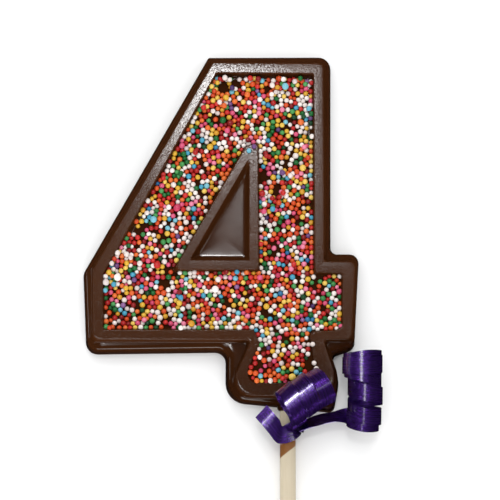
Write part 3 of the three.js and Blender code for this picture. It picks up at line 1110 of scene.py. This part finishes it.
def ribbon_finish():
    """Glossy violet ribbon with fine streaks along its length, an uneven gloss, and dull folds with
    painted shade, nearly black.
    """
    finish = Finish("violet_ribbon", Metallic=0.88, Coat_Roughness=0.17, Coat_IOR=2.3)
    across = finish.written("across")
    along = finish.written("along")
    # painted shade, written on the knot, where shade falls deep in its folds
    painted_shade = finish.written("painted_shade")
    lane = finish.node("CombineXYZ", None, {"X": across * 60, "Y": along * 40})
    wide_lane = finish.node("CombineXYZ", None, {"X": across * 11, "Y": along * 260})
    streaks = finish.noise(lane, 1, 3, 0.7)
    gloss = finish.between(finish.noise(wide_lane, 1, 2, 0.6), 0.34, 0.56)
    violet = finish.mix(streaks, (0.040, 0.007, 0.17), (0.115, 0.028, 0.36))
    return finish.surface(
        # painted shade: the knot's colour is mixed to nearly black
        Base_Color=finish.mix(painted_shade * 0.92, violet, (0.004, 0.002, 0.01)),
        Roughness=0.2 + streaks * 0.14 + painted_shade * 0.3,
        Coat_Weight=(0.45 + gloss * 0.55) * (1 - painted_shade),
        Normal=finish.bump(streaks, 0.12 * MM, 0.7),
    )


# Surroundings


def floor():
    """A plain pale floor, which the part's gloss doesn't reflect."""
    bpy.ops.object.select_all(action="DESELECT")
    bpy.ops.mesh.primitive_plane_add(size=4)
    piece = bpy.context.object
    piece.name = "floor"
    piece.visible_glossy = False
    finish = Finish("pale_floor", Base_Color=(0.92, 0.92, 0.92), Roughness=0.9)
    piece.data.materials.append(finish.material)


def facing(back):
    """The turn of a camera or light that looks away from back, with the figure's top up."""
    up = (Vector((0, 1, 0)) - back * back.y).normalized()
    return Matrix((up.cross(back), up, back)).transposed().to_4x4()


def lamp(name, place, size, power, turn=0, use="both"):
    """A soft rectangular light that faces the middle of the picture, at a place seen from there,
    turned by some degrees. Its use is to give a shine, to light the part, or both."""
    light = bpy.data.lights.new(name, "AREA")
    light.shape = "RECTANGLE"
    light.size, light.size_y = size
    light.energy = power
    place = Vector(place)
    holder = bpy.data.objects.new(name, light)
    stand = Matrix.Translation(at(*CAMERA_AIM) + place) @ facing(place.normalized())
    holder.matrix_world = stand @ Matrix.Rotation(math.radians(turn), 4, "Z")
    holder.visible_glossy = use != "light"
    holder.visible_diffuse = use != "shine"
    bpy.context.collection.objects.link(holder)


def lights():
    """A small bright light above the top of the figure with two weak ones round it, low ones on the
    left and in front for the edges, five that only shine, for the ribbon's curls, and soft light
    without reflections from the front, the back and all round."""
    lamp("key_light", (-0.014, 0.268, 1), (0.08, 0.06), 0.7)
    lamp("key_fringe", (0.032, 0.265, 1), (0.13, 0.09), 0.3)
    lamp("key_surround", (0.05, 0.2175, 1), (0.21, 0.165), 0.25)
    lamp("left_light", (-0.95, 0.2, 0.08), (0.1, 0.5), 0.7)
    lamp("front_light", (0, -0.95, 0.17), (0.9, 0.16), 3)
    lamp("barrel_light", (-0.15, 0.45, 1), (0.2, 0.34), 3.6, turn=-25, use="shine")
    lamp("barrel_end_light", (0.56, 0.21, 1), (0.16, 0.1), 0.2, use="shine")
    lamp("tail_light", (0.2, 0, 1), (0.1, 0.04), 0.12, use="shine")
    lamp("curl_light", (-0.15, -0.12, 1), (0.26, 0.08), 1, use="shine")
    lamp("curl_end_light", (-0.15, -0.34, 1), (0.16, 0.3), 0.4, use="shine")
    lamp("front_fill", (0, -0.95, 0.13), (0.8, 0.1), 4, use="light")
    lamp("back_fill", (0, 0.9, 0.9), (0.8, 0.8), 5, use="light")
    world = bpy.data.worlds.new("studio")
    world.use_nodes = True
    world.node_tree.nodes["Background"].inputs["Color"].default_value = (0.95, 0.95, 0.95, 1)
    world.cycles_visibility.glossy = False
    bpy.context.scene.world = world


def camera():
    """Looks down on the front from the picture's viewing angle, with the figure's top up."""
    lens = bpy.data.cameras.new("camera")
    lens.sensor_fit = "HORIZONTAL"
    lens.angle = 2 * math.atan(PICTURE / 2 / CAMERA_DISTANCE)
    x, y = math.sin(CAMERA_LEAN_X), math.sin(CAMERA_LEAN_Y)
    back = Vector((x, y, math.sqrt(1 - x * x - y * y)))
    holder = bpy.data.objects.new("camera", lens)
    place = at(*CAMERA_AIM) + back * CAMERA_DISTANCE * MM
    holder.matrix_world = Matrix.Translation(place) @ facing(back)
    bpy.context.collection.objects.link(holder)
    bpy.context.scene.camera = holder


camera()
lights()
floor()
chocolate()
sprinkles()
stick()
ribbon()
bpy.context.scene.view_settings.view_transform = "Standard"
